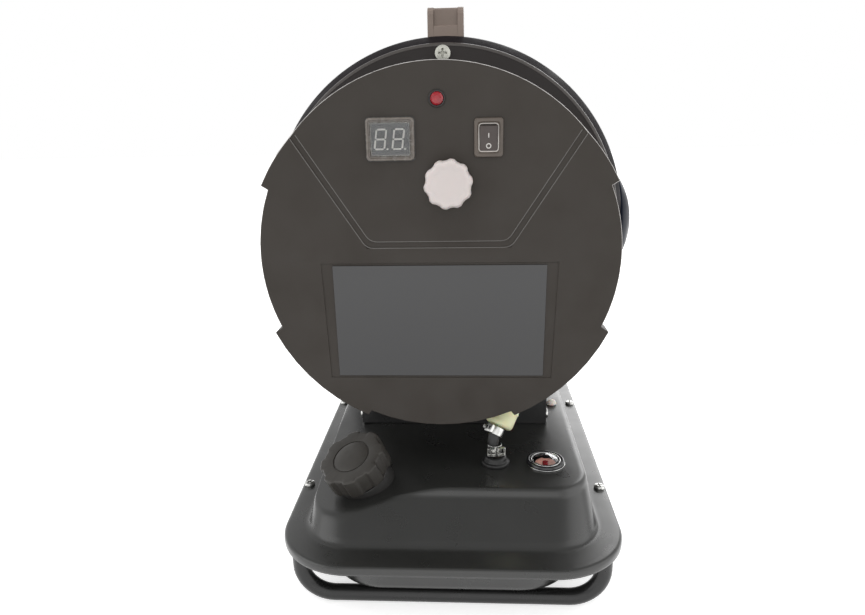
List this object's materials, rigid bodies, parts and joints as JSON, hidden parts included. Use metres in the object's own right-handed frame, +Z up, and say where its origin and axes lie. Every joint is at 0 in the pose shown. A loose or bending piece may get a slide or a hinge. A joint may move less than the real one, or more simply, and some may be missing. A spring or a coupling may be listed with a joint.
{
  "type": "infrared diesel heater",
  "caption": "Portable infrared diesel heater: a round burner drum with a control cover and a radiant hood, on a pedestal over a flanged fuel tank with tube feet.",
  "frame": {"origin": "on the floor, under the middle of the whole heater's bounding box", "axes": "+Z up; the control cover faces -Y and the radiant dish faces +Y; +X is to the right as seen from the control cover"},
  "size_m": [0.335, 0.388, 0.433],
  "materials": {
    "tank_paint": "gloss black powder coat",
    "cover_paint": "satin warm dark grey powder coat",
    "frame_paint": "semi-gloss black paint",
    "zinc_steel": "bright zinc plate",
    "gauge_chrome": "bright chrome plate",
    "heat_steel": "plain heat-resistant steel",
    "reflector_steel": "polished stainless steel",
    "brass": "plain brass",
    "copper": "plain copper pipe",
    "black_plastic": "matte black moulding",
    "cap_plastic": "matte dark grey moulding",
    "handle_plastic": "matte taupe moulding",
    "knob_plastic": "satin off-white moulding",
    "cream_plastic": "translucent cream nylon",
    "white_plastic": "off-white nylon",
    "clear_plastic": "clear acrylic",
    "red_plastic": "translucent red",
    "ceramic": "glazed ceramic and steel rod",
    "black_rubber": "matt black rubber",
    "label_film": "gloss black film, bare",
    "board_green": "green solder mask with black relays"
  },
  "bodies": {
    "heater": {"tank_upper_shell": "tank_paint", "tank_lower_pan": "tank_paint", "tank_screw_1": "zinc_steel", "tank_screw_2": "zinc_steel", "tank_screw_3": "zinc_steel", "tank_screw_4": "zinc_steel", "foot_rear": "frame_paint", "foot_front": "frame_paint", "filler_neck": "black_plastic", "filler_strainer": "cream_plastic", "gauge_body": "gauge_chrome", "gauge_lens": "clear_plastic", "hose_grommet": "black_rubber", "pickup_tube": "brass", "fuel_hose": "black_rubber", "hose_clamp_lower": "zinc_steel", "hose_clamp_upper": "zinc_steel", "fuel_filter": "cream_plastic", "pump_hose": "black_rubber", "blanking_plug": "white_plastic", "drain_plug": "brass", "pedestal": "frame_paint", "pedestal_screw_1": "zinc_steel", "pedestal_screw_2": "zinc_steel", "control_cover": "cover_paint", "label_plate": "label_film", "lamp_bezel": "black_plastic", "warning_lamp": "red_plastic", "display_housing": "black_plastic", "display_window": "clear_plastic", "display_board": "black_plastic", "rocker_frame": "black_plastic", "thermostat_body": "zinc_steel", "control_housing": "frame_paint", "nozzle_pipe": "copper", "fan_motor": "heat_steel", "fuel_pump": "zinc_steel", "ignition_transformer": "black_plastic", "control_board": "board_green", "cable_gland": "black_rubber", "burner_tube": "heat_steel", "burner_nozzle": "brass", "electrode_pair": "ceramic", "combustion_chamber": "heat_steel", "radiant_dish": "heat_steel", "reflector": "reflector_steel", "hood_rear_plate": "cover_paint", "front_hood": "cover_paint", "front_guard": "gauge_chrome", "carry_handle": "handle_plastic", "side_dome_cover": "black_plastic", "hood_screw": "zinc_steel"},
    "fan": {"motor_shaft": "zinc_steel", "fan_wheel": "heat_steel"},
    "thermostat_knob": {"thermostat_knob": "knob_plastic"},
    "power_rocker": {"power_rocker": "black_plastic"},
    "fuel_cap_gasket": {"fuel_cap_gasket": "black_rubber"},
    "fuel_cap": {"fuel_cap": "cap_plastic"},
    "gauge_float": {"gauge_float": "cream_plastic"},
    "gauge_pointer": {"gauge_pointer": "red_plastic"}
  },
  "joints": [
    {"name": "fan_spin", "type": "hinge", "parent": "heater", "child": "fan", "pos_m": [-0.0075, -0.018, 0.249], "axis": [0, 1, 0], "continuous": true},
    {"name": "thermostat_turn", "type": "hinge", "parent": "heater", "child": "thermostat_knob", "pos_m": [0.0001, -0.12, 0.2997], "axis": [0, 1, 0], "range_deg": [-135, 135]},
    {"name": "power_switch", "type": "hinge", "parent": "heater", "child": "power_rocker", "pos_m": [0.0271, -0.113, 0.3292], "axis": [-1, 0, 0], "range_deg": [0, 16]},
    {"name": "fuel_cap_lift", "type": "slide", "parent": "heater", "child": "fuel_cap_gasket", "axis": [-0.3261, -0.3377, 0.8829], "range_m": [0, 0.03]},
    {"name": "fuel_cap_turn", "type": "hinge", "parent": "fuel_cap_gasket", "child": "fuel_cap", "pos_m": [-0.0685, -0.1192, 0.0785], "axis": [-0.3261, -0.3377, 0.8829], "range_deg": [0, 360]},
    {"name": "gauge_float_swing", "type": "hinge", "parent": "heater", "child": "gauge_float", "pos_m": [0.074, -0.0985, 0.0443], "axis": [1, 0, 0], "range_deg": [0, 36]},
    {"name": "gauge_pointer_turn", "type": "hinge", "parent": "heater", "child": "gauge_pointer", "pos_m": [0.074, -0.0985, 0.079], "axis": [0, 0, 1], "range_deg": [-90, 0]}
  ],
  "couplings": [
    {"joint": "gauge_pointer_turn", "follows": "gauge_float_swing", "ratio": -2.5}
  ]
}
